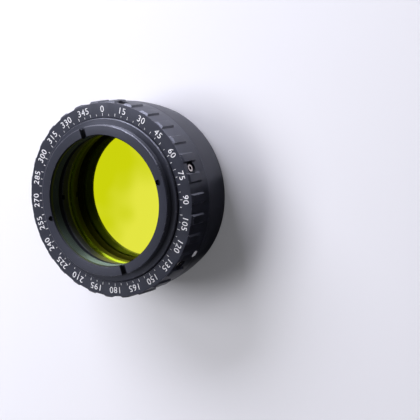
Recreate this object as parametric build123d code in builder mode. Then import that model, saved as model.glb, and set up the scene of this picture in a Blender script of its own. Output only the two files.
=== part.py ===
from build123d import *
import math
import os

# Camera adapter ring with a compartment for a 50.8 mm nebula filter, closed by
# its rear cap. Sizes are millimetres. +Z is the light path, from the camera
# towards the telescope. The origin is the centre of the cap's rear face, on
# which the adapter stands. Angles run anticlockwise from +X, seen from above.

# Filter, whose radius every other radius follows
filter_radius = 25.4
filter_thickness = 2.0

# Housing, measured upwards from its rear rim
flange_to_text_face = 10.6
housing_rim = 1.1
cell_clearance = 0.15
front_bore_step = 0.4
rim_chamfer = 0.25

# Grip lands around the housing
land_count = 30
land_rise = 0.6
groove_width = 3.2
knurl_start = 3.7

# Clamping screws in the grooves, with cone points
screw_count = 6
screw_first_angle = 18.0
screw_hole_radius = 1.5
screw_length = 4.0
screw_hex = 1.5
screw_hex_depth = 1.6

# Index dot on the plain flange
dot_radius = 0.95
dot_depth = 0.4
dot_height = 1.45
dot_angle = -37.5

# Insert ring, with the outer thread on its boss and the inner thread in its bore
boss_step = 1.4
boss_wall = 3.35
boss_height = 3.2
collar_drop = 2.4
insert_length = 7.7
insert_rear_chamfer = 1.45
insert_edge_chamfer = 0.3
clamp_groove_depth = 0.6
clamp_groove_rise = 1.0
key_slot_width = 1.5
key_slot_margin = 0.4
key_slot_depth = 1.6
key_slot_angle = 105.0
pin_notch_radius = 1.0
pin_notch_offset = 0.85
pin_notch_depth = 2.0

# Retaining ring of the filter
retainer_lip = 3.95
retainer_notch_width = 1.5
retainer_notch_length = 1.75
retainer_notch_depth = 1.0
retainer_notch_angle = 179.0
retainer_chamfer = 0.2

# Bayonet ring on the rear of the housing, which also seats the filter
seat_width = 1.6
seat_drop = 1.85
plate_width = 2.7
plate_thickness = 1.6
plate_proud = 0.1
tube_step = 1.5
tube_length = 5.2
lug_reach = 1.4
lug_thickness = 1.6
lug_gap = 2.4
lug_count = 3
lug_span = 50.0
lug_first_angle = 30.0
lock_hole_radius = 1.0
lock_hole_depth = 1.0
lock_hole_offset = 60.0

# Rear cap
cap_height = 13.2
cap_rim_step = 0.1
cap_barrel = 0.65
cap_taper = 2.0
cap_foot_chamfer = 0.8
cap_floor = 1.8
cap_wall = 1.8
cap_lug_thickness = 1.7
cap_lug_span = 50.0
cap_stop_span = 4.0
cap_base_recess = 0.6
cap_base_rim = 3.0

# Clearances between the pieces
fit_clearance = 0.05
cap_gap = 0.2
lug_clearance = 0.3
stop_clearance = 0.3
seat_clearance = 0.1

# Radii that follow from the filter
cell_bore_radius = filter_radius + cell_clearance
front_bore_radius = cell_bore_radius + front_bore_step
tube_radius = filter_radius + tube_step
tube_bore_radius = filter_radius - seat_width
plate_radius = tube_radius + plate_width
plate_recess_radius = plate_radius + fit_clearance
lug_radius = tube_radius + lug_reach
lock_hole_circle = (tube_radius + plate_radius) / 2
body_radius = plate_radius + housing_rim
land_radius = body_radius + land_rise
insert_radius = front_bore_radius - fit_clearance
boss_radius = filter_radius - boss_step
insert_bore_radius = boss_radius - boss_wall
key_slot_reach = boss_radius - key_slot_margin
pin_notch_circle = insert_bore_radius + pin_notch_offset
retainer_radius = cell_bore_radius - fit_clearance
retainer_bore_radius = filter_radius - retainer_lip
screw_radius = screw_hole_radius - fit_clearance
screw_tip_radius = insert_radius - clamp_groove_depth + fit_clearance
cap_rim_radius = body_radius - cap_rim_step
cap_mid_radius = cap_rim_radius - cap_barrel
cap_foot_radius = cap_rim_radius - cap_taper
cap_lug_inner = tube_radius + lug_clearance
cap_cavity_radius = lug_radius + lug_clearance

# Heights of the main faces above the base
flange_z = cap_height + cap_gap
body_rear_z = flange_z + plate_proud
plate_top_z = flange_z + plate_thickness
knurl_z = flange_z + knurl_start
text_z = flange_z + flange_to_text_face
front_z = text_z + boss_height
collar_z = front_z - collar_drop
insert_rear_z = front_z - insert_length
cell_top_z = insert_rear_z - seat_clearance
retainer_top_z = cell_top_z - seat_clearance
screw_z = insert_rear_z + clamp_groove_rise
seat_z = plate_top_z - seat_drop
filter_top_z = seat_z + filter_thickness
tube_end_z = flange_z - tube_length
lug_top_z = flange_z - lug_gap
lug_rear_z = lug_top_z - lug_thickness


def outwards(angle):
    """The direction away from the light path."""
    turn = math.radians(angle)
    return (math.cos(turn), math.sin(turn), 0)


def radial_plane(angle, radius, height):
    """A plane at a radius, facing outwards from the light path."""
    away = outwards(angle)
    centre = (radius * away[0], radius * away[1], height)
    return Plane(origin=centre, x_dir=(0, 0, 1), z_dir=away)


def screw_angles():
    """The directions of the clamping screws."""
    step = 360.0 / screw_count
    return [screw_first_angle + step * i for i in range(screw_count)]


def wedge(span, reach):
    """The corners of a triangle from the light path that spans an angle."""
    half = math.radians(span / 2)
    far = reach / math.cos(half)
    side = far * math.sin(half)
    return [(0, 0), (reach, -side), (reach, side)]


# Housing

with BuildPart() as adapter_body:
    # The grip band, cut into lands
    with BuildSketch(Plane.XY.offset(knurl_z)):
        Circle(land_radius)
        with PolarLocations(land_radius, land_count, start_angle=180.0 / land_count):
            Rectangle(2 * land_rise + fit_clearance, groove_width, mode=Mode.SUBTRACT)
    extrude(amount=text_z - knurl_z)
    land_arcs = adapter_body.edges().filter_by(GeomType.CIRCLE)
    outer_arcs = land_arcs.filter_by(lambda edge: abs(edge.radius - land_radius) < fit_clearance)
    chamfer(outer_arcs.group_by(Axis.Z)[-1], length=land_rise)
    # The plain barrel that carries the band and forms the flange
    with BuildSketch(Plane.XY.offset(body_rear_z)):
        Circle(body_radius)
    extrude(amount=text_z - body_rear_z)
    rear_edge = adapter_body.edges().group_by(Axis.Z)[0]
    chamfer(rear_edge, length=rim_chamfer)
    # The stepped bore, from the rear
    with BuildSketch(Plane.XZ):
        with BuildLine():
            Polyline(
                (0, body_rear_z),
                (plate_recess_radius, body_rear_z),
                (plate_recess_radius, plate_top_z),
                (cell_bore_radius, plate_top_z),
                (cell_bore_radius, cell_top_z),
                (front_bore_radius, cell_top_z),
                (front_bore_radius, text_z),
                (0, text_z),
                close=True,
            )
        make_face()
    revolve(axis=Axis.Z, mode=Mode.SUBTRACT)
    # Radial holes for the clamping screws
    with BuildSketch(*[radial_plane(angle, cell_bore_radius, screw_z) for angle in screw_angles()]):
        Circle(screw_hole_radius)
    extrude(amount=land_radius, mode=Mode.SUBTRACT)
    # The dimple for the index dot
    with BuildSketch(radial_plane(dot_angle, body_radius - dot_depth, body_rear_z + dot_height)):
        Circle(dot_radius)
    extrude(amount=land_rise + dot_depth, mode=Mode.SUBTRACT)
adapter_body.part.label = "adapter_body"


# Index dot, a filled disc whose face follows the flange

with BuildPart() as index_dot:
    with BuildSketch(radial_plane(dot_angle, body_radius - dot_depth, body_rear_z + dot_height)):
        Circle(dot_radius)
    extrude(amount=2 * dot_depth)
    with BuildSketch(Plane.XY.offset(body_rear_z)):
        Circle(body_radius)
    extrude(amount=2 * dot_height, mode=Mode.INTERSECT)
index_dot.part.label = "index_dot"


# Insert ring, held in the housing by the screws in its V groove

with BuildPart() as insert_ring:
    with BuildSketch(Plane.XZ):
        with BuildLine():
            Polyline(
                (insert_bore_radius, insert_rear_z + insert_rear_chamfer),
                (insert_bore_radius, front_z - insert_edge_chamfer),
                (insert_bore_radius + insert_edge_chamfer, front_z),
                (boss_radius - insert_edge_chamfer, front_z),
                (boss_radius, front_z - insert_edge_chamfer),
                (boss_radius, collar_z),
                (insert_radius - rim_chamfer, collar_z),
                (insert_radius, collar_z - rim_chamfer),
                (insert_radius, screw_z + clamp_groove_depth),
                (insert_radius - clamp_groove_depth, screw_z),
                (insert_radius, screw_z - clamp_groove_depth),
                (insert_radius, insert_rear_z),
                (insert_bore_radius + insert_rear_chamfer, insert_rear_z),
                close=True,
            )
        make_face()
    revolve(axis=Axis.Z)
    # Two key slots across the front face
    with BuildSketch(Plane.XY.offset(front_z)):
        with PolarLocations(insert_bore_radius, 2, start_angle=key_slot_angle):
            Rectangle(2 * (key_slot_reach - insert_bore_radius), key_slot_width)
    extrude(amount=-key_slot_depth, mode=Mode.SUBTRACT)
    # Two round notches for a pin key
    with BuildSketch(Plane.XY.offset(front_z)):
        with PolarLocations(pin_notch_circle, 2, start_angle=key_slot_angle - 90.0):
            Circle(pin_notch_radius)
    extrude(amount=-pin_notch_depth, mode=Mode.SUBTRACT)
insert_ring.part.label = "insert_ring"


# Retaining ring of the filter

with BuildPart() as filter_retainer:
    with BuildSketch(Plane.XY.offset(filter_top_z)):
        Circle(retainer_radius)
        Circle(retainer_bore_radius, mode=Mode.SUBTRACT)
    extrude(amount=retainer_top_z - filter_top_z)
    # Its front inner edge is broken
    front_edges = filter_retainer.edges().group_by(Axis.Z)[-1]
    chamfer(front_edges.sort_by(SortBy.RADIUS)[0], length=retainer_chamfer)
    # Two notches for a key
    with BuildSketch(Plane.XY.offset(retainer_top_z)):
        with PolarLocations(retainer_bore_radius, 2, start_angle=retainer_notch_angle):
            Rectangle(2 * retainer_notch_length, retainer_notch_width)
    extrude(amount=-retainer_notch_depth, mode=Mode.SUBTRACT)
filter_retainer.part.label = "filter_retainer"


# Filter glass

with BuildPart() as filter_glass:
    with BuildSketch(Plane.XY.offset(seat_z)):
        Circle(filter_radius)
    extrude(amount=filter_thickness)
filter_glass.part.label = "filter_glass"


# Bayonet ring

with BuildPart() as bayonet_ring:
    # Plate, tube and the seat of the filter
    with BuildSketch(Plane.XZ):
        with BuildLine():
            Polyline(
                (tube_bore_radius, tube_end_z),
                (tube_radius, tube_end_z),
                (tube_radius, flange_z),
                (plate_radius, flange_z),
                (plate_radius, plate_top_z),
                (cell_bore_radius, plate_top_z),
                (cell_bore_radius, seat_z),
                (tube_bore_radius, seat_z),
                close=True,
            )
        make_face()
    revolve(axis=Axis.Z)
    # Three lugs that catch behind the camera's own
    with BuildSketch(Plane.XY.offset(lug_rear_z)):
        Circle(lug_radius)
        with PolarLocations(0, lug_count, start_angle=lug_first_angle + 180.0 / lug_count):
            Polygon(*wedge(360.0 / lug_count - lug_span, 2 * lug_radius), align=None, mode=Mode.SUBTRACT)
        Circle(tube_bore_radius + fit_clearance, mode=Mode.SUBTRACT)
    extrude(amount=lug_thickness)
    # The hole for the camera's lock pin
    with BuildSketch(Plane.XY.offset(flange_z)):
        with PolarLocations(lock_hole_circle, 1, start_angle=lug_first_angle + lock_hole_offset):
            Circle(lock_hole_radius)
    extrude(amount=lock_hole_depth, mode=Mode.SUBTRACT)
bayonet_ring.part.label = "bayonet_ring"


# Rear cap

with BuildPart() as rear_cap:
    # Outside, a gently barrelled taper down to a broken foot
    with BuildSketch(Plane.XZ):
        with BuildLine():
            rim = (cap_rim_radius, cap_height)
            middle = (cap_mid_radius, (cap_height + cap_foot_chamfer) / 2)
            foot = (cap_foot_radius, cap_foot_chamfer)
            ThreePointArc(rim, middle, foot)
            Polyline(foot, (cap_foot_radius - cap_foot_chamfer, 0), (0, 0), (0, cap_height), rim)
        make_face()
    revolve(axis=Axis.Z)
    # The cavity, wide enough for the bayonet lugs
    with BuildSketch(Plane.XZ):
        with BuildLine():
            Polyline(
                (0, cap_floor),
                (cap_foot_radius - cap_wall, cap_floor),
                (cap_cavity_radius, lug_rear_z - lug_clearance),
                (cap_cavity_radius, cap_height),
                (0, cap_height),
                close=True,
            )
        make_face()
    revolve(axis=Axis.Z, mode=Mode.SUBTRACT)
    # Three lugs that turn in behind those of the bayonet ring
    with BuildSketch(Plane.XY.offset(cap_height - cap_lug_thickness)):
        Circle(cap_cavity_radius + fit_clearance)
        Circle(cap_lug_inner, mode=Mode.SUBTRACT)
        with PolarLocations(0, lug_count, start_angle=lug_first_angle + 180.0 / lug_count):
            Polygon(*wedge(360.0 / lug_count - cap_lug_span, 2 * lug_radius), align=None, mode=Mode.SUBTRACT)
    extrude(amount=cap_lug_thickness)
    # The stop that meets the end of a bayonet lug when the cap is closed
    stop_gap = math.degrees(stop_clearance / lug_radius)
    stop_angle = lug_first_angle + lug_span / 2 + stop_gap + cap_stop_span / 2
    with BuildSketch(Plane.XY.offset(lug_rear_z)):
        Circle(cap_cavity_radius + fit_clearance)
        Circle(cap_lug_inner, mode=Mode.SUBTRACT)
        with PolarLocations(0, 1, start_angle=stop_angle):
            Polygon(*wedge(cap_stop_span, 2 * lug_radius), align=None, mode=Mode.INTERSECT)
    extrude(amount=cap_height - lug_rear_z)
    # The hollow under the floor leaves a standing rim
    with BuildSketch(Plane.XY):
        Circle(cap_foot_radius - cap_base_rim)
    extrude(amount=cap_base_recess, mode=Mode.SUBTRACT)
rear_cap.part.label = "rear_cap"


def build_set_screw(number, angle):
    """One clamping screw, its cone point in the V groove of the insert ring."""
    away = outwards(angle)
    along = Plane(origin=(0, 0, screw_z), x_dir=away, z_dir=(-away[1], away[0], 0))
    head_radius = screw_tip_radius + screw_length
    with BuildPart() as set_screw:
        with BuildSketch(along):
            with BuildLine():
                Polyline(
                    (screw_tip_radius, 0),
                    (screw_tip_radius + screw_radius, screw_radius),
                    (head_radius, screw_radius),
                    (head_radius, 0),
                    close=True,
                )
            make_face()
        revolve(axis=Axis((0, 0, screw_z), away))
        # The socket for its hexagonal key
        with BuildSketch(radial_plane(angle, head_radius, screw_z)):
            RegularPolygon(screw_hex / 2, 6, major_radius=False)
        extrude(amount=-screw_hex_depth, mode=Mode.SUBTRACT)
    set_screw.part.label = f"set_screw_{number}"
    return set_screw.part


os.makedirs("parts", exist_ok=True)
pieces = [
    adapter_body.part,
    index_dot.part,
    insert_ring.part,
    filter_retainer.part,
    filter_glass.part,
    bayonet_ring.part,
    rear_cap.part,
]
pieces += [build_set_screw(i + 1, angle) for i, angle in enumerate(screw_angles())]
for piece in pieces:
    export_step(piece, f"parts/{piece.label}.step")
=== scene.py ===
import math

import bmesh
import bpy
from bpy.props import FloatProperty, FloatVectorProperty, IntProperty, PointerProperty
from bpy.types import Operator, Panel, PropertyGroup
from mathutils import Matrix, Vector


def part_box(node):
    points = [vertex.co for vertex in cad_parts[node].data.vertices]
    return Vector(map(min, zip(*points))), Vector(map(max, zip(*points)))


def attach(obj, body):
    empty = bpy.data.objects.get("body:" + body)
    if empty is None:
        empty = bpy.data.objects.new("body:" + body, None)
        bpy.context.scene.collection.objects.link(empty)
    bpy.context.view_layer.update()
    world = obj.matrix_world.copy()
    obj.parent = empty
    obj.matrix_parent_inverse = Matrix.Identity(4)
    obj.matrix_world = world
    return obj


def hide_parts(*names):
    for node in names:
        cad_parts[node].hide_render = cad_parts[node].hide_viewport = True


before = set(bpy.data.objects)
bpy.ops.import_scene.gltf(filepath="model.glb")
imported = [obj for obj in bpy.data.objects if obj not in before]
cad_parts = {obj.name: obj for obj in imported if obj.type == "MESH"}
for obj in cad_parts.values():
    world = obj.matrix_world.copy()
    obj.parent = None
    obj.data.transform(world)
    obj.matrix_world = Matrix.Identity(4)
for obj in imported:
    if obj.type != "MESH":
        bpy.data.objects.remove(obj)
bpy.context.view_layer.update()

bl_info = {
    "name": "Nebula filter in its adapter ring",
    "version": (1, 0, 0),
    "blender": (4, 5, 0),
    "location": "3D View > Sidebar > Filter ring",
    "description": "Builds the dressed adapter ring, its filter, rear cap and studio around the fixed frame",
    "category": "Object",
}

# Millimetres in metres, the distance at which points are merged, and the steps of a full turn
MM = 0.001
MERGE = 1e-6
STEPS = 360

# Heights above the base in millimetres, read from the frame where a node gives them
CAP_TOP_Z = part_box("rear_cap")[1].z / MM
BODY_REAR_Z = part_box("adapter_body")[0].z / MM
TEXT_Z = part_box("adapter_body")[1].z / MM
FRONT_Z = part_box("insert_ring")[1].z / MM
INSERT_REAR_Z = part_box("insert_ring")[0].z / MM
RETAINER_TOP_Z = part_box("filter_retainer")[1].z / MM
FILTER_TOP_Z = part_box("filter_glass")[1].z / MM
FILTER_REAR_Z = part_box("filter_glass")[0].z / MM
PLATE_TOP_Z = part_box("bayonet_ring")[1].z / MM
TUBE_END_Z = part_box("bayonet_ring")[0].z / MM

# Heights fitted to the photograph: the foot of the grip lands, the insert's shoulder, the clamping screws, the
# index dot, and the bayonet's flange and lugs
KNURL_Z = 17.1
COLLAR_Z = FRONT_Z - 2.4
SCREW_Z = INSERT_REAR_Z + 1.0
DOT_Z = BODY_REAR_Z + 1.45
FLANGE_Z = CAP_TOP_Z + 0.2
LUG_REAR_Z = FLANGE_Z - 4.0

# Angles round the light path in degrees
SCREW_ANGLES = [18 + 60 * i for i in range(6)]
DOT_ANGLE = -36.3
KEY_SLOT_ANGLES = (105, 285)
PIN_NOTCH_ANGLES = (15, 195)
RING_NOTCH_ANGLES = (179, 359)
LUG_ANGLES = (30, 150, 270)
LUG_HALF_SPAN = 25
GAP_ANGLES = (90, 210, 330)
STOP_ANGLE = 58


# Shaping helpers

def clear_selection():
    """Leaves nothing selected, in object mode."""
    if bpy.context.object and bpy.context.object.mode != "OBJECT":
        bpy.ops.object.mode_set(mode="OBJECT")
    bpy.ops.object.select_all(action="DESELECT")


def take(piece):
    """Makes one piece the selected and active object."""
    clear_selection()
    piece.select_set(True)
    bpy.context.view_layer.objects.active = piece


def name_piece(name):
    """Names the active object and puts its place into its mesh."""
    piece = bpy.context.object
    piece.name = name
    piece.data.name = name
    bpy.ops.object.transform_apply(location=True, rotation=True, scale=True)
    return piece


def seat(piece, place=(0, 0, 0), rotation=(0, 0, 0)):
    """Places and turns a piece that is at the origin and puts that into its mesh."""
    take(piece)
    piece.location = place
    piece.rotation_euler = rotation
    bpy.ops.object.transform_apply(location=True, rotation=True, scale=True)
    return piece


def place_at(radius, angle, height):
    """The place in metres of a radius and a height in millimetres at an angle in degrees."""
    away = math.radians(angle)
    return radius * math.cos(away) * MM, radius * math.sin(away) * MM, height * MM


def rod(name, radius, depth, place, vertices=48, outwards=None):
    """A cylinder in millimetres, along the light path or pointing outwards at an angle."""
    clear_selection()
    rotation = (0, 0, 0) if outwards is None else (0, math.pi / 2, math.radians(outwards))
    bpy.ops.mesh.primitive_cylinder_add(
        vertices=vertices, radius=radius * MM, depth=depth * MM, location=place, rotation=rotation)
    return name_piece(name)


def block(name, size, place, angle=0):
    """A box in millimetres, turned round its own height by degrees."""
    clear_selection()
    bpy.ops.mesh.primitive_cube_add(
        size=MM, location=place, rotation=(0, 0, math.radians(angle)), scale=size)
    return name_piece(name)


def draw_profile(name, profile, closed):
    """Draws (radius, height) points in millimetres as a chain of edges and stays in edit mode."""
    clear_selection()
    radius, height = profile[0]
    bpy.ops.mesh.primitive_plane_add(size=MM, location=(radius * MM, 0, height * MM))
    piece = name_piece(name)
    bpy.ops.object.mode_set(mode="EDIT")
    bpy.ops.mesh.select_mode(type="VERT")
    bpy.ops.mesh.select_all(action="SELECT")
    bpy.ops.mesh.merge(type="CENTER")
    ends = profile[1:] + (profile[:1] if closed else [])
    for (r0, z0), (r1, z1) in zip(profile, ends):
        step = ((r1 - r0) * MM, 0, (z1 - z0) * MM)
        bpy.ops.mesh.extrude_region_move(TRANSFORM_OT_translate={"value": step})
    bpy.ops.mesh.select_all(action="SELECT")
    bpy.ops.mesh.remove_doubles(threshold=MERGE)
    bpy.ops.mesh.select_all(action="SELECT")
    return piece


def close_up():
    """Merges doubles and turns the faces outwards, in edit mode."""
    bpy.ops.mesh.select_all(action="SELECT")
    bpy.ops.mesh.remove_doubles(threshold=MERGE)
    bpy.ops.mesh.normals_make_consistent(inside=False)


def turn(name, profile, steps=STEPS):
    """Spins a profile round the light path. One that starts and ends on the path is left open there."""
    on_path = profile[0][0] == 0 and profile[-1][0] == 0
    piece = draw_profile(name, profile, not on_path)
    bpy.ops.mesh.spin(steps=steps, angle=2 * math.pi, center=(0, 0, 0), axis=(0, 0, 1), use_auto_merge=True)
    close_up()
    bpy.ops.object.mode_set(mode="OBJECT")
    return piece


def wind(name, section, bottom, top, pitch, turns, steps=120):
    """Winds a closed section up the light path as a thread ridge and trims both ends level."""
    piece = draw_profile(name, section, True)
    bpy.ops.object.mode_set(mode="OBJECT")
    helix = piece.modifiers.new("Helix", "SCREW")
    helix.axis = "Z"
    helix.angle = 2 * math.pi
    helix.screw_offset = pitch * MM
    helix.iterations = turns
    helix.steps = steps
    helix.render_steps = steps
    bpy.ops.object.modifier_apply(modifier=helix.name)
    bpy.ops.object.mode_set(mode="EDIT")
    close_up()
    bpy.ops.mesh.fill_holes(sides=len(section))
    close_up()
    bpy.ops.object.mode_set(mode="OBJECT")
    tools = []
    for height, side in ((bottom, -1), (top, 1)):
        tools.append(rod("trim", 30, 4, (0, 0, (height + 2 * side) * MM), 24))
    cut(piece, tools)
    return piece


def ring_place(point):
    """The angle in degrees, the radius and the height in millimetres of a point."""
    angle = math.degrees(math.atan2(point.y, point.x)) % 360
    return angle, math.hypot(point.x, point.y) / MM, point.z / MM


def select_parts(piece, kind, wanted):
    """Selects the faces (FACE) or points (VERT) whose angle, radius and height pass a test, in edit mode."""
    bpy.ops.mesh.select_mode(type=kind)
    bpy.ops.mesh.select_all(action="DESELECT")
    shape = bmesh.from_edit_mesh(piece.data)
    for part in shape.faces if kind == "FACE" else shape.verts:
        middle = part.calc_center_median() if kind == "FACE" else part.co
        if wanted(*ring_place(middle)):
            part.select_set(True)
    bmesh.update_edit_mesh(piece.data)


def grow_radially(factor, height):
    """Extrudes the selected faces and scales them about the light path."""
    bpy.ops.mesh.extrude_region_move(TRANSFORM_OT_translate={"value": (0, 0, 0)})
    bpy.ops.transform.resize(value=(factor, factor, 1), center_override=(0, 0, height * MM))


def in_lug(angle):
    """Whether an angle lies within one of the three bayonet lugs."""
    return any(abs((angle - centre + 180) % 360 - 180) < LUG_HALF_SPAN for centre in LUG_ANGLES)


def off_step(angle, step):
    """How far an angle lies from the nearest multiple of a step."""
    return abs((angle + step / 2) % step - step / 2)


def break_edges(piece, width, segments=2, material=1, limit=28):
    """Bevels the sharp edges and gives the new faces the worn finish."""
    take(piece)
    bevel = piece.modifiers.new("Broken edges", "BEVEL")
    bevel.width = width * MM
    bevel.segments = segments
    bevel.limit_method = "ANGLE"
    bevel.angle_limit = math.radians(limit)
    bevel.use_clamp_overlap = True
    bevel.material = material
    bpy.ops.object.modifier_apply(modifier=bevel.name)


def cut(piece, tools, keep=False):
    """Cuts the tools out of a piece and removes them, unless they are kept for another piece."""
    for tool in tools:
        take(piece)
        knife = piece.modifiers.new("Cut", "BOOLEAN")
        knife.operation = "DIFFERENCE"
        knife.solver = "EXACT"
        knife.object = tool
        bpy.ops.object.modifier_apply(modifier=knife.name)
        if not keep:
            bpy.data.objects.remove(tool)


def join(first, others):
    """Joins pieces into the first."""
    clear_selection()
    for other in others:
        other.select_set(True)
    first.select_set(True)
    bpy.context.view_layer.objects.active = first
    bpy.ops.object.join()
    return first


def turned_copy(piece, name, angle):
    """A copy with its own mesh, turned round the light path."""
    copy = piece.copy()
    copy.data = piece.data.copy()
    bpy.context.scene.collection.objects.link(copy)
    copy.name = name
    copy.data.name = name
    return seat(copy, rotation=(0, 0, math.radians(angle)))


def finish_piece(piece, nodes, body="adapter", angle=30):
    """Smooths a piece, seats it on its body and hides the frame's nodes that it stands for."""
    take(piece)
    bpy.ops.object.shade_smooth_by_angle(angle=math.radians(angle))
    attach(piece, body)
    if nodes:
        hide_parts(*nodes)
    return piece


# Finishes

# The cool tint of the light that black surfaces throw back
COOL = (0.80, 0.83, 1.0, 1.0)


def new_finish(name):
    """An empty finish with its shader, nodes and links."""
    finish = bpy.data.materials.new(name)
    finish.use_nodes = True
    tree = finish.node_tree
    return finish, tree.nodes, tree.links, tree.nodes["Principled BSDF"]


def calculate(nodes, links, operation, *values):
    """A Math node's result, each value a socket or a plain number."""
    node = nodes.new("ShaderNodeMath")
    node.operation = operation
    for i, value in enumerate(values):
        if isinstance(value, bpy.types.NodeSocket):
            links.new(value, node.inputs[i])
        else:
            node.inputs[i].default_value = value
    return node.outputs["Value"]


def along(nodes, links, direction, space="Object"):
    """How far a point or a ray lies along a direction."""
    place = nodes.new("ShaderNodeTexCoord")
    dot = nodes.new("ShaderNodeVectorMath")
    dot.operation = "DOT_PRODUCT"
    dot.inputs[1].default_value = direction
    links.new(place.outputs[space], dot.inputs[0])
    return dot.outputs["Value"]


def seen_directly(nodes, links):
    """1 for what the camera, gloss and glass see, and 0 for the light that falls on surfaces."""
    path = nodes.new("ShaderNodeLightPath")
    seen = calculate(nodes, links, "MAXIMUM", path.outputs["Is Camera Ray"], path.outputs["Is Glossy Ray"])
    return calculate(nodes, links, "MAXIMUM", seen, path.outputs["Is Transmission Ray"])


def object_noise(nodes, links, scale, detail=2.0, roughness=0.5):
    """Noise in the object's own space."""
    place = nodes.new("ShaderNodeTexCoord")
    noise = nodes.new("ShaderNodeTexNoise")
    noise.inputs["Scale"].default_value = scale
    noise.inputs["Detail"].default_value = detail
    noise.inputs["Roughness"].default_value = roughness
    links.new(place.outputs["Object"], noise.inputs["Vector"])
    return noise


def ramp(nodes, links, source, stops):
    """A colour ramp of (position, colour) stops."""
    node = nodes.new("ShaderNodeValToRGB")
    elements = node.color_ramp.elements
    for i, (position, colour) in enumerate(stops):
        element = elements[i] if i < 2 else elements.new(position)
        element.position = position
        element.color = (*colour, 1)
    links.new(source, node.inputs["Fac"])
    return node


def map_range(nodes, links, source, low, high, start=0.0, end=1.0):
    """Maps a value from one range to another."""
    node = nodes.new("ShaderNodeMapRange")
    node.inputs["From Min"].default_value = start
    node.inputs["From Max"].default_value = end
    node.inputs["To Min"].default_value = low
    node.inputs["To Max"].default_value = high
    links.new(source, node.inputs["Value"])
    return node


def vary_colour(nodes, links, shader, source, colour, low, high):
    """The base colour times low to high as a value rises."""
    dark, light = (tuple(share * c for c in colour) for share in (low, high))
    shades = ramp(nodes, links, source, [(0.3, dark), (0.7, light)])
    links.new(shades.outputs["Color"], shader.inputs["Base Color"])
    return shades


def vary_roughness(nodes, links, shader, source, low, high):
    """Roughness from low to high as a value rises."""
    span = map_range(nodes, links, source, low, high)
    links.new(span.outputs["Result"], shader.inputs["Roughness"])


def turning_marks(nodes, links, scale):
    """Fine concentric noise, as a lathe leaves on a face."""
    place = nodes.new("ShaderNodeTexCoord")
    split = nodes.new("ShaderNodeSeparateXYZ")
    links.new(place.outputs["Object"], split.inputs["Vector"])
    flat = nodes.new("ShaderNodeCombineXYZ")
    links.new(split.outputs["X"], flat.inputs["X"])
    links.new(split.outputs["Y"], flat.inputs["Y"])
    length = nodes.new("ShaderNodeVectorMath")
    length.operation = "LENGTH"
    links.new(flat.outputs["Vector"], length.inputs[0])
    noise = nodes.new("ShaderNodeTexNoise")
    noise.noise_dimensions = "1D"
    noise.inputs["Scale"].default_value = scale
    noise.inputs["Detail"].default_value = 3.0
    links.new(calculate(nodes, links, "ADD", length.outputs["Value"], split.outputs["Z"]), noise.inputs["W"])
    return noise


def add_bump(nodes, links, shader, source, strength, distance):
    """Bump from a value, its distance in metres."""
    bump = nodes.new("ShaderNodeBump")
    bump.inputs["Strength"].default_value = strength
    bump.inputs["Distance"].default_value = distance
    links.new(source, bump.inputs["Height"])
    links.new(bump.outputs["Normal"], shader.inputs["Normal"])
    return bump


def anodised_finish(name, colour, rough, grain=0.25, specular=0.5, speck=0.5, tint=COOL):
    """Black anodised aluminium: a fine blasted grain, a light cloud and a few pale specks."""
    finish, nodes, links, shader = new_finish(name)
    cloud = object_noise(nodes, links, scale=90, detail=3)
    specks = object_noise(nodes, links, scale=3200, detail=1)
    base = vary_colour(nodes, links, shader, cloud.outputs["Fac"], colour, 0.8, 1.22)
    black, white = (0, 0, 0), (1, 1, 1)
    pale = ramp(nodes, links, specks.outputs["Fac"], [(0.0, black), (0.70, black), (0.80, white)])
    mix = nodes.new("ShaderNodeMix")
    mix.data_type = "RGBA"
    mix.inputs["B"].default_value = (*[min(1, 3.2 * c) for c in colour], 1)
    links.new(calculate(nodes, links, "MULTIPLY", pale.outputs["Color"], speck), mix.inputs["Factor"])
    links.new(base.outputs["Color"], mix.inputs["A"])
    links.new(mix.outputs["Result"], shader.inputs["Base Color"])
    vary_roughness(nodes, links, shader, cloud.outputs["Fac"], rough - 0.05, rough + 0.07)
    shader.inputs["Specular IOR Level"].default_value = specular
    shader.inputs["Specular Tint"].default_value = tint
    round_path = nodes.new("ShaderNodeTangent")
    round_path.direction_type = "RADIAL"
    round_path.axis = "Z"
    links.new(round_path.outputs["Tangent"], shader.inputs["Tangent"])
    shader.inputs["Anisotropic"].default_value = 0.75
    shader.inputs["Anisotropic Rotation"].default_value = 0.25
    blast = object_noise(nodes, links, scale=5200, detail=2)
    add_bump(nodes, links, shader, blast.outputs["Fac"], strength=grain, distance=0.00004)
    return finish


def worn_finish(name, colour, bare, share):
    """An anodised edge that is rubbed bright in places."""
    finish, nodes, links, shader = new_finish(name)
    rub = object_noise(nodes, links, scale=900, detail=4, roughness=0.65)
    base = ramp(nodes, links, rub.outputs["Fac"], [(share, colour), (share + 0.10, bare)])
    links.new(base.outputs["Color"], shader.inputs["Base Color"])
    metal = ramp(nodes, links, rub.outputs["Fac"], [(share, (0, 0, 0)), (share + 0.12, (0.8, 0.8, 0.8))])
    links.new(metal.outputs["Color"], shader.inputs["Metallic"])
    vary_roughness(nodes, links, shader, rub.outputs["Fac"], 0.42, 0.26)
    return finish


def steel_finish(name, colour, rough, marks):
    """Turned steel with fine marks."""
    finish, nodes, links, shader = new_finish(name)
    shader.inputs["Metallic"].default_value = 1.0
    fine = turning_marks(nodes, links, marks)
    vary_colour(nodes, links, shader, fine.outputs["Fac"], colour, 0.82, 1.0)
    vary_roughness(nodes, links, shader, fine.outputs["Fac"], rough - 0.06, rough + 0.10)
    add_bump(nodes, links, shader, fine.outputs["Fac"], strength=0.3, distance=0.00001)
    return finish


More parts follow.
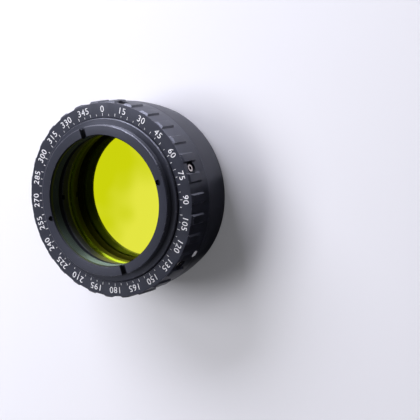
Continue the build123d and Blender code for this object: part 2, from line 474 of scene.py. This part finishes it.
def paint_finish(name, colour):
    """White paint in an engraving, slightly chalky."""
    finish, nodes, links, shader = new_finish(name)
    chalk = object_noise(nodes, links, scale=1500, detail=3)
    low = tuple(0.80 * c for c in colour)
    base = ramp(nodes, links, chalk.outputs["Fac"], [(0.35, low), (0.6, colour)])
    links.new(base.outputs["Color"], shader.inputs["Base Color"])
    shader.inputs["Roughness"].default_value = 0.55
    add_bump(nodes, links, shader, chalk.outputs["Fac"], strength=0.2, distance=0.00002)
    return finish


def coating_finish(name, edge_colour, painted_light_colour):
    """The reflecting dichroic coat of the filter, with a painted reflection that makes it paler towards one
    side and in soft patches.
    """
    finish, nodes, links, shader = new_finish(name)
    shader.inputs["Metallic"].default_value = 1.0
    shader.inputs["Roughness"].default_value = 0.03
    # Painted reflection: a soft cloud and a slope across the disc lighten the coat's colour
    cloud = object_noise(nodes, links, scale=70, detail=1)
    slope = along(nodes, links, (35, -30, 0))
    shade = calculate(nodes, links, "MULTIPLY_ADD", cloud.outputs["Fac"], 1.3, slope)
    base = ramp(nodes, links, shade, [(0.3, edge_colour), (1.0, painted_light_colour)])
    base.color_ramp.interpolation = "EASE"
    links.new(base.outputs["Color"], shader.inputs["Base Color"])
    return finish


def plastic_finish(name, colour, rough):
    """Fine matte moulded plastic."""
    finish, nodes, links, shader = new_finish(name)
    cloud = object_noise(nodes, links, scale=60, detail=3)
    vary_colour(nodes, links, shader, cloud.outputs["Fac"], colour, 0.86, 1.14)
    vary_roughness(nodes, links, shader, cloud.outputs["Fac"], rough - 0.04, rough + 0.06)
    shader.inputs["Specular IOR Level"].default_value = 0.8
    shader.inputs["Specular Tint"].default_value = COOL
    grain = object_noise(nodes, links, scale=4200, detail=2)
    add_bump(nodes, links, shader, grain.outputs["Fac"], strength=0.22, distance=0.00005)
    return finish


# Settings that a user would change

class FilterRingSizes(PropertyGroup):
    edge_break: FloatProperty(
        name="Edge break", description="Width of the broken edges", default=0.00007, unit="LENGTH")
    land_count: IntProperty(name="Grip lands", description="Number of lands round the housing", default=30)
    land_radius: FloatProperty(
        name="Land radius", description="Radius over the grip lands", default=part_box("adapter_body")[1].x,
        unit="LENGTH")
    thread_pitch: FloatProperty(
        name="Thread pitch", description="Pitch of the front threads", default=0.00075, unit="LENGTH")
    scale_step: IntProperty(name="Scale step", description="Degrees between two marks", default=5)
    number_height: FloatProperty(
        name="Number height", description="Height of the scale's numbers", default=0.0021, unit="LENGTH")


class FilterRingFinishes(PropertyGroup):
    anodised: FloatVectorProperty(
        name="Anodised", description="Colour of the anodised parts", subtype="COLOR",
        default=(0.011, 0.012, 0.020))
    cap: FloatVectorProperty(
        name="Cap", description="Colour of the rear cap", subtype="COLOR", default=(0.012, 0.0125, 0.019))
    coating: FloatVectorProperty(
        name="Coating", description="Colour that the filter reflects", subtype="COLOR",
        default=(0.62, 0.67, 0.004))
    # The pale coating is a painted reflection on the filter's paler side
    coating_pale: FloatVectorProperty(
        name="Pale coating", description="Colour of the filter's paler side", subtype="COLOR",
        default=(0.80, 0.81, 0.055))
    floor: FloatVectorProperty(
        name="Floor", description="Colour of the floor", subtype="COLOR", default=(0.72, 0.715, 0.76))


def sizes():
    """The user's sizes."""
    return bpy.context.scene.filter_ring_sizes


def finishes():
    """The user's colours."""
    return bpy.context.scene.filter_ring_finishes


SHELF = {}


def finish_of(key):
    """A finish by its plain name, made once."""
    if key not in SHELF:
        black = tuple(finishes().anodised)
        makers = {
            "anodised": lambda: anodised_finish("Black anodised", black, rough=0.40, specular=0.72),
            "worn": lambda: worn_finish(
                "Worn edge", tuple(3.0 * c for c in black), bare=(0.32, 0.32, 0.36), share=0.56),
            # Painted reflection: the bore's green tint stands in for the filter's yellow-green light on the
            # bore wall
            "bore": lambda: anodised_finish(
                "Anodised bore", black, rough=0.34, grain=0.1, specular=0.6, speck=0.2,
                tint=(0.68, 0.95, 0.7, 1)),
            # Painted reflection: the retaining ring's yellow-green tint and high gloss stand in for the
            # filter's light falling on its foot
            "retainer": lambda: anodised_finish(
                "Retaining ring", black, rough=0.24, grain=0.03, specular=1.3, speck=0.2,
                tint=(0.7, 1.0, 0.4, 1)),
            # Painted shade: the duller lip finish keeps the ring's upper wall dark
            "lip": lambda: anodised_finish(
                "Ring lip", (0.018, 0.021, 0.022), rough=0.4, grain=0.1, specular=0.45, speck=0.2),
            # Near black for the screws' threads, and painted shade: it also darkens the key slots and the
            # bore's relief groove, lip and front edge
            "thread": lambda: anodised_finish(
                "Blackened thread and painted shade", (0.006, 0.006, 0.008), rough=0.5, specular=0.2),
            "coating": lambda: coating_finish(
                "Dichroic coat", tuple(finishes().coating), tuple(finishes().coating_pale)),
            "cap": lambda: plastic_finish("Cap plastic", tuple(finishes().cap), rough=0.46),
            "steel": lambda: steel_finish("Screw steel", (0.72, 0.66, 0.64), rough=0.22, marks=9000),
            "bayonet": lambda: steel_finish("Bayonet steel", (0.62, 0.62, 0.64), rough=0.26, marks=14000),
            "paint": lambda: paint_finish("White fill", (0.86, 0.86, 0.90)),
            "dot": lambda: paint_finish("Index fill", (0.97, 0.97, 0.98)),
        }
        SHELF[key] = makers[key]()
    return SHELF[key]


def dress(piece, *keys):
    """Gives a piece its finishes, in the order of its material slots."""
    piece.data.materials.clear()
    for key in keys:
        piece.data.materials.append(finish_of(key))


# Pieces

class FILTERRING_OT_housing(Operator):
    """Builds the housing with its grip lands, screw holes and index dimple"""
    bl_idname = "filterring.housing"
    bl_label = "Housing"

    def execute(self, context):
        wall, rear_bore, seat_bore, text_edge = 30.7, 29.65, 25.55, 25.95
        rear, shelf = BODY_REAR_Z - 0.08, INSERT_REAR_Z - 0.1
        piece = turn("housing", [
            (rear_bore, rear), (wall - 0.06, rear), (wall, BODY_REAR_Z - 0.02), (wall, KNURL_Z), (wall, TEXT_Z),
            (text_edge + 0.2, TEXT_Z), (text_edge, TEXT_Z - 0.2), (text_edge, shelf), (seat_bore, shelf),
            (seat_bore, PLATE_TOP_Z), (rear_bore, PLATE_TOP_Z),
        ])
        dress(piece, "anodised", "worn")
        # The lands are grown out of the wall, their sides slanted, their tops lowered and their feet raised
        pitch = 360 / sizes().land_count
        land = sizes().land_radius / MM
        slant, top_drop, foot_rise = 0.8, -0.6, 0.2
        bpy.ops.object.mode_set(mode="EDIT")
        select_parts(piece, "FACE", lambda a, r, z: r > wall - 0.1 and z > KNURL_Z
                     and off_step(a, pitch) < pitch / 4)
        grow_radially(land / wall, TEXT_Z)
        for side in (-1, 1):
            select_parts(piece, "VERT", lambda a, r, z: r > land - 0.1
                         and off_step(a - side * pitch / 4, pitch) < 0.3)
            bpy.ops.transform.rotate(
                value=math.radians(slant * side), orient_axis="Z", center_override=(0, 0, TEXT_Z * MM))
        select_parts(piece, "VERT", lambda a, r, z: r > land - 0.1 and z > TEXT_Z - 0.05)
        bpy.ops.transform.translate(value=(0, 0, top_drop * MM))
        select_parts(piece, "VERT", lambda a, r, z: r > land - 0.1 and z < KNURL_Z + 0.05)
        bpy.ops.transform.translate(value=(0, 0, foot_rise * MM))
        close_up()
        bpy.ops.object.mode_set(mode="OBJECT")
        break_edges(piece, sizes().edge_break / MM)
        tools = [rod("drill", 2.1, 7, place_at(28.5, angle, SCREW_Z), 64, angle) for angle in SCREW_ANGLES]
        tools.append(rod("dimple", 1.21, 2, place_at(31.3, DOT_ANGLE, DOT_Z), outwards=DOT_ANGLE))
        cut(piece, tools)
        finish_piece(piece, ["adapter_body"])
        return {"FINISHED"}


class FILTERRING_OT_insert(Operator):
    """Builds the insert ring with its two threads, key slots and pin notches"""
    bl_idname = "filterring.insert"
    bl_label = "Insert ring"

    def execute(self, context):
        lip, bore, relief, inside = 20.68, 21.02, 21.5, 22.0
        core, crest, rim, groove = 23.52, 23.98, 25.9, 0.6
        lip_z = INSERT_REAR_Z + 1.42
        piece = turn("insert", [
            (22.1, INSERT_REAR_Z), (lip, lip_z), (lip, lip_z + 0.1), (relief, lip_z + 0.15),
            (relief, lip_z + 1.35), (bore, lip_z + 1.45), (bore, FRONT_Z - 1.6), (lip, FRONT_Z - 1.4),
            (lip, FRONT_Z - 0.28), (lip + 0.28, FRONT_Z), (23.72, FRONT_Z), (crest, FRONT_Z - 0.26),
            (crest, FRONT_Z - 0.34), (core, FRONT_Z - 0.58), (core, COLLAR_Z), (rim - 0.25, COLLAR_Z),
            (rim, COLLAR_Z - 0.25), (rim, SCREW_Z + groove), (rim - groove, SCREW_Z), (rim, SCREW_Z - groove),
            (rim, INSERT_REAR_Z),
        ])
        dress(piece, "anodised", "worn", "bore", "thread")
        bore_slot, painted_shade_slot = 2, 3
        break_edges(piece, 0.08)
        # The bore's relief groove, lip and front edge take the near-black finish as painted shade, and the rest
        # of the bore takes the green-tinted bore finish as a painted reflection
        for face in piece.data.polygons:
            _, radius, height = ring_place(face.center)
            if radius < inside and height < FRONT_Z - 0.01:
                if not lip_z + 1.4 < height < FRONT_Z - 0.5:
                    face.material_index = painted_shade_slot
                elif face.material_index == 0:
                    face.material_index = bore_slot
        tools = []
        slot_size, slot_radius, notch_radius = (4.6, 2.0, 3.2), 22.4, 21.75
        for angle in KEY_SLOT_ANGLES:
            slot = block("slot", slot_size, place_at(slot_radius, angle, FRONT_Z), angle)
            # Painted shade: the slot walls take the near-black finish
            for face in slot.data.polygons:
                face.material_index = painted_shade_slot
            tools.append(slot)
        tools += [rod("notch", 0.95, 2.5, place_at(notch_radius, angle, FRONT_Z)) for angle in PIN_NOTCH_ANGLES]
        # Each thread: its name and finish, root and tip radius, start, flat of the tip, ends and turns
        pitch = sizes().thread_pitch / MM
        for name, finish, root, tip, low, flat, ends, turns in (
                ("bore_thread", "bore", 21.12, lip, INSERT_REAR_Z + 1.9, (0.32, 0.43),
                 (lip_z + 1.45, FRONT_Z - 1.42), 8),
                ("boss_thread", "anodised", 23.42, crest, COLLAR_Z - 0.5, (0.34, 0.42),
                 (COLLAR_Z + 0.12, FRONT_Z - 0.62), 4)):
            section = [(root, low), (tip, low + flat[0]), (tip, low + flat[1]), (root, low + pitch - 0.01)]
            thread = wind(name, section, *ends, pitch, turns)
            cut(thread, tools, keep=True)
            dress(thread, finish)
            finish_piece(thread, [])
        cut(piece, tools)
        finish_piece(piece, ["insert_ring"])
        return {"FINISHED"}


class FILTERRING_OT_retaining_ring(Operator):
    """Builds the slotted ring that holds the filter down"""
    bl_idname = "filterring.retaining_ring"
    bl_label = "Retaining ring"

    def execute(self, context):
        top, low, rim, lip_slot = RETAINER_TOP_Z, FILTER_TOP_Z, 25.5, 2
        lip_z = low + 1.5
        piece = turn("retaining_ring", [
            (21.8, low), (21.45, lip_z), (21.48, low + 1.6), (21.6, top - 0.2), (21.8, top), (rim - 0.2, top),
            (rim, top - 0.2), (rim, low),
        ])
        dress(piece, "retainer", "worn", "lip")
        break_edges(piece, 0.04)
        # Lit and shaded copies of one finish: the foot keeps the glossy green-tinted finish as a painted
        # reflection, and the wall above lip_z takes the duller lip finish as painted shade
        for face in piece.data.polygons:
            if face.material_index == 0 and face.center.z > lip_z * MM:
                face.material_index = lip_slot
        notch, notch_radius = (2.0, 1.5, 2.0), 22.2
        cut(piece, [block("notch", notch, place_at(notch_radius, angle, top), angle)
                    for angle in RING_NOTCH_ANGLES])
        finish_piece(piece, ["filter_retainer"])
        return {"FINISHED"}


class FILTERRING_OT_filter(Operator):
    """Builds the coated filter disc"""
    bl_idname = "filterring.filter"
    bl_label = "Filter"

    def execute(self, context):
        rim, bevel = 25.4, 0.2
        piece = turn("nebula_filter", [
            (0, FILTER_REAR_Z), (rim - bevel, FILTER_REAR_Z), (rim, FILTER_REAR_Z + bevel),
            (rim, FILTER_TOP_Z - bevel), (rim - bevel, FILTER_TOP_Z), (0, FILTER_TOP_Z),
        ])
        dress(piece, "coating")
        finish_piece(piece, ["filter_glass"], angle=20)
        return {"FINISHED"}


class FILTERRING_OT_bayonet(Operator):
    """Builds the steel bayonet ring with its lugs and countersunk screws"""
    bl_idname = "filterring.bayonet"
    bl_label = "Bayonet ring"

    def execute(self, context):
        bore, seat_rim, tube, lug, rim, screw_circle = 23.8, 25.55, 26.9, 28.3, 29.6, 28.25
        lug_top = FLANGE_Z - 2.4
        piece = turn("bayonet", [
            (bore, TUBE_END_Z), (tube - 0.3, TUBE_END_Z), (tube, TUBE_END_Z + 0.3), (tube, LUG_REAR_Z),
            (tube, lug_top), (tube, FLANGE_Z), (rim - 0.15, FLANGE_Z), (rim, FLANGE_Z + 0.15),
            (rim, PLATE_TOP_Z), (seat_rim, PLATE_TOP_Z), (seat_rim, FILTER_REAR_Z), (bore, FILTER_REAR_Z),
        ])
        dress(piece, "bayonet", "bayonet")
        bpy.ops.object.mode_set(mode="EDIT")
        select_parts(piece, "FACE", lambda a, r, z: abs(r - tube) < 0.05 and LUG_REAR_Z < z < lug_top
                     and in_lug(a))
        grow_radially(lug / tube, lug_top)
        close_up()
        bpy.ops.object.mode_set(mode="OBJECT")
        break_edges(piece, 0.1)
        places = [place_at(screw_circle, gap + side, FLANGE_Z + 0.24)
                  for gap in GAP_ANGLES for side in (-22, 22)]
        tools = []
        for place in places:
            clear_selection()
            bpy.ops.mesh.primitive_cone_add(
                vertices=36, radius1=1.2 * MM, radius2=0.7 * MM, depth=0.5 * MM, location=place)
            tools.append(name_piece("sink"))
        tools.append(rod("lock_hole", 1.0, 2, place_at(screw_circle, GAP_ANGLES[0], FLANGE_Z), 36))
        cut(piece, tools)
        finish_piece(piece, ["bayonet_ring"])
        head = turn("bayonet_screw", [
            (0, FLANGE_Z + 0.06), (0.95, FLANGE_Z + 0.06), (1.08, FLANGE_Z + 0.12), (0.68, FLANGE_Z + 0.5),
            (0.68, FLANGE_Z + 1.4), (0, FLANGE_Z + 1.4)], 36)
        dress(head, "steel")
        cross_z = (FLANGE_Z + 0.1) * MM
        cut(head, [block("cross", size, (0, 0, cross_z)) for size in ((1.3, 0.3, 0.6), (0.3, 1.3, 0.6))])
        for i, (x, y, _) in enumerate(places):
            screw = seat(turned_copy(head, f"bayonet_screw_{i + 1}", 17 * i), (x, y, 0))
            finish_piece(screw, [])
        bpy.data.objects.remove(head)
        return {"FINISHED"}


class FILTERRING_OT_cap(Operator):
    """Builds the rear cap with its barrelled side, lugs and stop"""
    bl_idname = "filterring.cap"
    bl_label = "Rear cap"

    def execute(self, context):
        rim, middle, foot, rounding = 30.62, 29.95, 28.6, 1.0
        cavity, lug, stop_half_span = 28.6, 27.2, 2
        recess, recess_rim, floor_top, lug_top = 0.6, 25.6, 1.8, CAP_TOP_Z - 1.7
        top = CAP_TOP_Z + 0.13
        # A quarter-round toe, then a side that bows through foot, middle and rim
        toe = []
        for i in range(6):
            sweep = math.radians(15 * i)
            toe.append((foot - rounding + rounding * math.sin(sweep), rounding - rounding * math.cos(sweep)))
        side = []
        for i in range(13):
            t = i / 12
            bow = foot * (1 - t) * (1 - 2 * t) + 4 * middle * t * (1 - t) - rim * t * (1 - 2 * t)
            side.append((bow, rounding + (top - rounding) * t))
        outside = [(0, recess), (recess_rim - 0.25, recess), (recess_rim, recess - 0.25), (recess_rim, 0.0)]
        hollow = [
            (cavity, top), (cavity, lug_top), (cavity, LUG_REAR_Z), (cavity, LUG_REAR_Z - 0.3),
            (foot - 1.8, 3.0), (foot - 3.0, floor_top), (0, floor_top),
        ]
        piece = turn("cap", outside + toe + side + hollow)
        dress(piece, "cap", "cap")
        bpy.ops.object.mode_set(mode="EDIT")
        for wanted in (lambda a, z: z > lug_top and in_lug(a),
                       lambda a, z: z > LUG_REAR_Z and abs(a - STOP_ANGLE) < stop_half_span):
            select_parts(piece, "FACE", lambda a, r, z: abs(r - cavity) < 0.05 and wanted(a, z))
            grow_radially(lug / cavity, CAP_TOP_Z)
        close_up()
        bpy.ops.object.mode_set(mode="OBJECT")
        break_edges(piece, 0.06)
        finish_piece(piece, ["rear_cap"], "cap")
        return {"FINISHED"}


class FILTERRING_OT_screws(Operator):
    """Builds the six clamping screws with cone points and hexagonal sockets"""
    bl_idname = "filterring.screws"
    bl_label = "Clamping screws"

    def execute(self, context):
        tip, outer, root, face, length, rise = 25.35, 2.04, 1.72, 1.12, 5.0, 0.6
        turns = []
        for i in range(4):
            turns += [(outer, 2.1 + rise * i), (root, 2.4 + rise * i)]
        screw = turn("clamping_screw", [(0, 0), (1.98, 1.98)] + turns + [
            (outer, length - 0.9), (face, length), (0, length)], 64)
        dress(screw, "thread", "steel")
        for polygon in screw.data.polygons:
            polygon.material_index = int(polygon.center.z > (length - 0.02) * MM)
        cut(screw, [rod("hexagon", 0.75, 4.0, (0, 0, length * MM), 6)])
        seat(screw, (tip * MM, 0, SCREW_Z * MM), (0, math.pi / 2, 0))
        for i, angle in enumerate(SCREW_ANGLES):
            copy = turned_copy(screw, f"clamping_screw_{i + 1}", angle)
            finish_piece(copy, [f"set_screw_{i + 1}"])
        bpy.data.objects.remove(screw)
        return {"FINISHED"}


class FILTERRING_OT_marks(Operator):
    """Builds the white index dot and the plain degree scale on the front face"""
    bl_idname = "filterring.marks"
    bl_label = "Marks"

    def execute(self, context):
        dot = turn("index", [(0, -0.3), (1.2, -0.3), (1.2, 0.28), (1.05, 0.42), (0.5, 0.49), (0, 0.5)], 48)
        dress(dot, "dot")
        seat(dot, (30.25 * MM, 0, DOT_Z * MM), (0, math.pi / 2, 0))
        seat(dot, rotation=(0, 0, math.radians(DOT_ANGLE)))
        finish_piece(dot, ["index_dot"])
        tick_start, number_radius, number_step = 26.55, 27.75, 15
        ticks = []
        for angle in range(0, 360, sizes().scale_step):
            length = 0.9 if angle % 10 == 0 else 0.55
            place = ((tick_start + length / 2) * MM, 0, TEXT_Z * MM)
            tick = block(f"tick_{angle}", (length, 0.16, 0.06), place)
            ticks.append(seat(tick, rotation=(0, 0, math.radians(angle))))
        scale = join(ticks[0], ticks[1:])
        scale.name = "scale_ticks"
        dress(scale, "paint")
        break_edges(scale, 0.015, 1, 0)
        finish_piece(scale, [])
        numbers = []
        for angle in range(0, 360, number_step):
            clear_selection()
            bpy.ops.object.text_add(location=(0, 0, 0))
            text = bpy.context.object.data
            text.body = str(angle)
            text.size = sizes().number_height * 1.35
            text.align_x = "CENTER"
            text.extrude = 0.03 * MM
            text.space_character = 1.1
            bpy.ops.object.convert(target="MESH")
            number = seat(bpy.context.object, (0, number_radius * MM, TEXT_Z * MM))
            numbers.append(seat(number, rotation=(0, 0, math.radians(-angle))))
        figures = join(numbers[0], numbers[1:])
        figures.name = "scale_numbers"
        figures.data.name = "scale_numbers"
        dress(figures, "paint")
        finish_piece(figures, [])
        return {"FINISHED"}


# Stage

# The camera's place and axes, fitted to both threads' ellipses, with its focal length and picture in pixels
CAMERA_PLACE = (0.274055, 0.045915, 0.406662)
CAMERA_RIGHT = Vector((0.852094, -0.066572, -0.519137))
CAMERA_UP = Vector((0.0, 0.991878, -0.127195))
FOCAL_PIXELS = 1500
PICTURE_PIXELS = 420
SENSOR_WIDTH = 36

# Where the world glows for gloss, and where the filter mirrors it
GLOW_SIDE = (-0.6, 0.45, 0.66)
MIRRORED_SIDE = (-0.583, -0.097, 0.807)


def aim(target, start):
    """The rotation that looks from one point to another."""
    return (Vector(target) - Vector(start)).to_track_quat("-Z", "Y").to_euler()


def add_softbox(name, place, width, height, power, colour, target=(0, 0, 0.015)):
    """A rectangular area lamp that looks at the part."""
    clear_selection()
    bpy.ops.object.light_add(type="AREA", location=place, rotation=aim(target, place))
    lamp = bpy.context.object
    lamp.name = name
    lamp.data.shape = "RECTANGLE"
    lamp.data.size = width
    lamp.data.size_y = height
    lamp.data.energy = power
    lamp.data.color = colour
    return lamp


def floor_finish():
    """White paper with a little light of its own, so that its white is seen everywhere and its shadow stays."""
    finish, nodes, links, shader = new_finish("Floor paper")
    shader.inputs["Base Color"].default_value = (*finishes().floor, 1)
    shader.inputs["Roughness"].default_value = 0.9
    shader.inputs["Specular IOR Level"].default_value = 0.1
    shader.inputs["Emission Color"].default_value = (0.96, 0.96, 1.0, 1)
    glow = calculate(nodes, links, "MULTIPLY", seen_directly(nodes, links), 0.10)
    links.new(glow, shader.inputs["Emission Strength"])
    return finish


def light_world(scene):
    """Surroundings that light surfaces weakly, glow to one side for gloss and are white for the filter."""
    world = scene.world or bpy.data.worlds.new("Studio")
    scene.world = world
    world.use_nodes = True
    nodes, links = world.node_tree.nodes, world.node_tree.links
    back = nodes["Background"]
    back.inputs["Color"].default_value = (0.97, 0.97, 1.0, 1)
    glow = map_range(nodes, links, along(nodes, links, GLOW_SIDE, "Generated"), 0.14, 0.32, -0.1, 0.75)
    panel = map_range(nodes, links, along(nodes, links, MIRRORED_SIDE, "Generated"), 0.0, 1.0, 0.88, 0.97)
    links.new(glow.outputs["Result"], panel.inputs["To Min"])
    level = map_range(nodes, links, seen_directly(nodes, links), 0.08, 1.0)
    links.new(panel.outputs["Result"], level.inputs["To Max"])
    links.new(level.outputs["Result"], back.inputs["Strength"])


def add_screen(name, size, place, rotation, finish):
    """A flat square of the stage."""
    clear_selection()
    bpy.ops.mesh.primitive_plane_add(size=size, location=place, rotation=rotation)
    screen = name_piece(name)
    screen.data.materials.append(finish)
    return screen


class FILTERRING_OT_stage(Operator):
    """Builds the floor, the lamps, the surroundings and the camera"""
    bl_idname = "filterring.stage"
    bl_label = "Stage"

    def execute(self, context):
        scene = context.scene
        level = (0, 0, 0)
        add_screen("floor", 6, level, level, floor_finish())
        light_world(scene)
        add_softbox("Top softbox", (-0.30, 0.58, 0.34), width=0.6, height=0.35, power=7.5,
                    colour=(0.92, 0.92, 1.0))
        rim = add_softbox("Rim softbox", (0.20, 0.74, 0.14), width=1.0, height=0.22, power=18.0,
                          colour=(0.90, 0.90, 1.0))
        rim.visible_diffuse = False
        left = add_softbox("Left softbox", (-0.45, 0.10, 0.60), width=0.4, height=0.4, power=4.4,
                           colour=(0.98, 0.98, 1.0))
        left.visible_glossy = False
        dark, _, _, shader = new_finish("Dark flag")
        shader.inputs["Base Color"].default_value = (0.004, 0.004, 0.005, 1)
        shader.inputs["Roughness"].default_value = 1.0
        behind = Vector(CAMERA_PLACE) * 1.6
        add_screen("flag", 0.2, behind, aim((0, 0, 0.02), behind), dark)
        # Painted shade: a black card on the floor that only gloss sees, so that the part's right side reflects
        # black instead of the white floor
        shade_card = add_screen("shade_card", 0.3, (0.17, -0.145, 0.0004), level, dark)
        shade_card.visible_camera = False
        shade_card.visible_diffuse = False
        shade_card.visible_shadow = False
        shade_card.visible_transmission = False
        clear_selection()
        bpy.ops.object.camera_add(location=CAMERA_PLACE)
        camera = context.object
        back_axis = CAMERA_RIGHT.cross(CAMERA_UP).normalized()
        turn_to = Matrix((CAMERA_RIGHT.normalized(), CAMERA_UP.normalized(), back_axis)).transposed()
        camera.rotation_euler = turn_to.to_euler()
        camera.data.sensor_width = SENSOR_WIDTH
        camera.data.lens = SENSOR_WIDTH * FOCAL_PIXELS / PICTURE_PIXELS
        camera.data.clip_start = 0.01
        camera.data.clip_end = 20
        scene.camera = camera
        scene.view_settings.view_transform = "Standard"
        return {"FINISHED"}


class FILTERRING_PT_panel(Panel):
    """Lists the pieces and their settings in the sidebar"""
    bl_idname = "FILTERRING_PT_panel"
    bl_label = "Filter ring"
    bl_space_type = "VIEW_3D"
    bl_region_type = "UI"
    bl_category = "Filter ring"

    def draw(self, context):
        for group in (context.scene.filter_ring_sizes, context.scene.filter_ring_finishes):
            box = self.layout.box()
            for name in group.__annotations__:
                box.prop(group, name)
        for operator in OPERATORS:
            self.layout.operator(operator.bl_idname)


OPERATORS = (
    FILTERRING_OT_housing,
    FILTERRING_OT_insert,
    FILTERRING_OT_retaining_ring,
    FILTERRING_OT_filter,
    FILTERRING_OT_bayonet,
    FILTERRING_OT_cap,
    FILTERRING_OT_screws,
    FILTERRING_OT_marks,
    FILTERRING_OT_stage,
)
CLASSES = (FilterRingSizes, FilterRingFinishes) + OPERATORS + (FILTERRING_PT_panel,)


def register():
    """Registers the settings, operators and panel."""
    for cls in CLASSES:
        bpy.utils.register_class(cls)
    bpy.types.Scene.filter_ring_sizes = PointerProperty(type=FilterRingSizes)
    bpy.types.Scene.filter_ring_finishes = PointerProperty(type=FilterRingFinishes)


def unregister():
    """Takes the settings, operators and panel away again."""
    del bpy.types.Scene.filter_ring_finishes
    del bpy.types.Scene.filter_ring_sizes
    for cls in reversed(CLASSES):
        bpy.utils.unregister_class(cls)


def main():
    """Builds every piece and the stage."""
    register()
    bpy.ops.filterring.housing()
    bpy.ops.filterring.insert()
    bpy.ops.filterring.retaining_ring()
    bpy.ops.filterring.filter()
    bpy.ops.filterring.bayonet()
    bpy.ops.filterring.cap()
    bpy.ops.filterring.screws()
    bpy.ops.filterring.marks()
    bpy.ops.filterring.stage()


if __name__ == "__main__":
    main()
